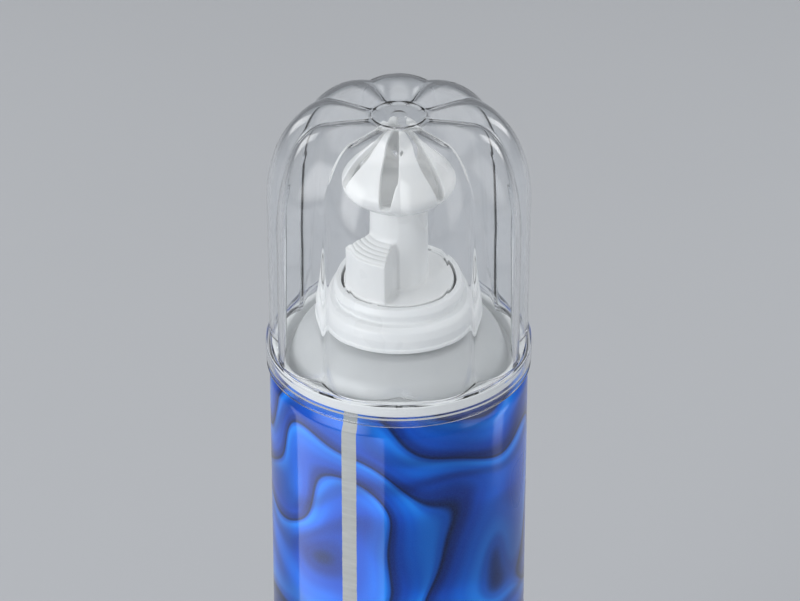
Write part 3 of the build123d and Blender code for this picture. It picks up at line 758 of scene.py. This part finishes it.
def build_cap():
    # angles of one lobe, closer together toward its creases; the first lobe faces +Y
    t = np.linspace(-1, 1, 53)[:-1]
    lobe = HALF_LOBE * np.sign(t) * (1 - (1 - np.abs(t)) ** 1.6)
    angles = np.concatenate([math.pi / 2 + 2 * HALF_LOBE * k + lobe for k in range(LOBES)])
    wall = np.tile(lobe_wall(lobe, LEDGE_TOP + 0.35), (LOBES, 1, 1))
    radii = wall[:, :, 0]
    outer = np.stack([radii * np.cos(angles)[:, None], radii * np.sin(angles)[:, None],
                      wall[:, :, 1]], 2)
    inner = inner_wall(outer, radii, angles)
    disc = [(r, CAP_TOP + dz) for r, dz in CAP_DISC]
    skirt = fillet_line(SKIRT, step=18.0)[0]
    underside = [(4.0, CAP_TOP - CAP_WALL), (0.0, CAP_TOP - CAP_WALL)]
    columns = []
    for i, angle in enumerate(angles):
        def stand(loop):
            loop = np.asarray(loop, float)
            return np.c_[loop[:, 0] * math.cos(angle), loop[:, 0] * math.sin(angle), loop[:, 1]]

        foot = [(min(radii[i, -1] + step, WALL_FOOT_MAX_R), LEDGE_TOP + dz)
                for step, dz in WALL_FOOT]
        inner_r = math.hypot(inner[i, -1, 0], inner[i, -1, 1])
        inner_foot = [(inner_r, LEDGE_LOW), (inner_r, LEDGE_LOW + 0.5)]
        columns.append(np.vstack([stand(disc), outer[i], stand(foot), stand(skirt),
                                  stand(inner_foot), inner[i][::-1], stand(underside)]))
    verts = np.array(columns)
    count, faces = verts.shape[1], []
    for i in range(len(verts)):
        a, b = i * count, (i + 1) % len(verts) * count
        faces += [(a + k, b + k, b + k + 1, a + k + 1) for k in range(count - 1)]
    return make_object("clear_overcap", verts.reshape(-1, 3), faces, MAT_CAP, sharp_angle=50.0)


place(build_cap(), "overcap", "overcap")


# ------------------------------------------------------------ floor, metres
def floor_material():
    m = Material("pale_floor")
    cloud = m.noise(m.coords(), scale=6.0, detail=4.0, roughness=0.6)
    m.set(Base_Color=m.drift(cloud, (0.49, 0.505, 0.53), dark=0.985, light=1.0), Roughness=0.8)
    return m.material


def add_floor():
    """Floor that sweeps up into a wall behind the can."""
    half_width, front, bend_start, bend_r, wall_top = 2.6, -2.2, 1.6, 0.8, 2.6
    profile = [(front, 0.0), (bend_start, 0.0)]
    for a in np.linspace(0, math.pi / 2, 16):
        profile.append((bend_start + bend_r * math.sin(a), bend_r - bend_r * math.cos(a)))
    profile.append((bend_start + bend_r, wall_top))
    verts = [(x, y, z) for y, z in profile for x in (-half_width, half_width)]
    faces = [(2 * i, 2 * i + 1, 2 * i + 3, 2 * i + 2) for i in range(len(profile) - 1)]
    mesh = bpy.data.meshes.new("floor")
    mesh.from_pydata(verts, [], faces)
    mesh.shade_smooth()
    mesh.materials.append(floor_material())
    ob = bpy.data.objects.new("floor", mesh)
    ob.location = (0, 0, -0.0002)
    SCENE.collection.objects.link(ob)


add_floor()


# ------------------------------------------------------------ lights
def area(name, place_at, target, size, power, edge=0.22, gain=1.9, through=False):
    """Area light that dims toward its rim, so that its mirror image has no hard edge."""
    light = bpy.data.lights.new(name, "AREA")
    light.shape = "RECTANGLE"
    light.size, light.size_y = size
    light.energy = power
    light.color = (1, 1, 1)
    light.use_nodes = True
    g = Graph(light.node_tree)
    emission = next(n for n in g.tree.nodes if n.type == "EMISSION")
    parametric = g.node("ShaderNodeNewGeometry").outputs["Parametric"]
    fades = []
    for across in g.split(parametric)[:2]:
        hump = g.calc("MULTIPLY", across, g.calc("SUBTRACT", 1.0, across))
        fades.append(g.remap(hump, span=(0.0, edge), to=(0.0, 1.0), smooth=True))
    strength = g.calc("MULTIPLY", g.calc("MULTIPLY", *fades), gain)
    g.link(strength, emission.inputs["Strength"])
    ob = bpy.data.objects.new(name, light)
    ob.location = place_at
    aim = Vector(target) - Vector(place_at)
    ob.rotation_euler = aim.to_track_quat("-Z", "Y").to_euler()
    ob.visible_camera = False
    ob.visible_transmission = through
    SCENE.collection.objects.link(ob)
    return ob


CAN_MIDDLE, CAN_UPPER = (0, 0, 0.18), (0, 0, 0.20)
area("key_left", (-0.95, -0.75, 0.62), CAN_MIDDLE, size=(1.5, 1.2), power=11.5)
area("fill_right", (0.95, -0.30, 0.50), CAN_MIDDLE, size=(0.9, 1.1), power=2.8)
area("top_soft", (0.05, 0.30, 1.05), CAN_MIDDLE, size=(1.5, 1.5), power=3.2, through=True)
area("rim_left", (-0.50, 0.55, 0.40), CAN_UPPER, size=(0.22, 0.5), power=0.6)
area("rim_right", (0.50, 0.50, 0.40), CAN_UPPER, size=(0.18, 0.5), power=0.6)

# low panel mirrored in the left front of the varnish, and a narrow one at the right
panels = [
    area("panel_left", (-0.087, -0.073, 0.085), (-0.087 + 0.845, -0.073 + 0.534, 0.085),
         size=(0.204, 0.165), power=0.19, edge=0.012, gain=1.05),
    area("panel_right", (0.24, 0.02, 0.095), (0, 0, 0.095), size=(0.07, 0.17), power=0.04)]
varnish_only = bpy.data.collections.new("varnish_only")
varnish_only.objects.link(bpy.data.objects["body_shell"])
for panel in panels:
    panel.visible_diffuse = False
    panel.light_linking.receiver_collection = varnish_only

world = bpy.data.worlds.new("studio")
world.use_nodes = True
background = world.node_tree.nodes["Background"]
background.inputs["Color"].default_value = (0.93, 0.95, 0.97, 1)
background.inputs["Strength"].default_value = 0.37
SCENE.world = world
SCENE.view_settings.view_transform = "Standard"
SCENE.view_settings.look = "None"
SCENE.view_settings.exposure = 0.0

# ------------------------------------------------------------ camera
CAM_PITCH = math.radians(31.2)               # looking down at the can from the front
CAM_DISTANCE, CAM_AIM_Z = 0.896, 0.1952
camera = bpy.data.cameras.new("cam")
camera.sensor_width, camera.lens = 36.0, 198.0
camera.shift_x = 0.0015
camera.clip_start, camera.clip_end = 0.02, 20.0
camera_ob = bpy.data.objects.new("cam", camera)
camera_ob.location = (0.0, -CAM_DISTANCE * math.cos(CAM_PITCH),
                      CAM_AIM_Z + CAM_DISTANCE * math.sin(CAM_PITCH))
camera_ob.rotation_euler = (math.pi / 2 - CAM_PITCH, 0, 0)
SCENE.collection.objects.link(camera_ob)
SCENE.camera = camera_ob
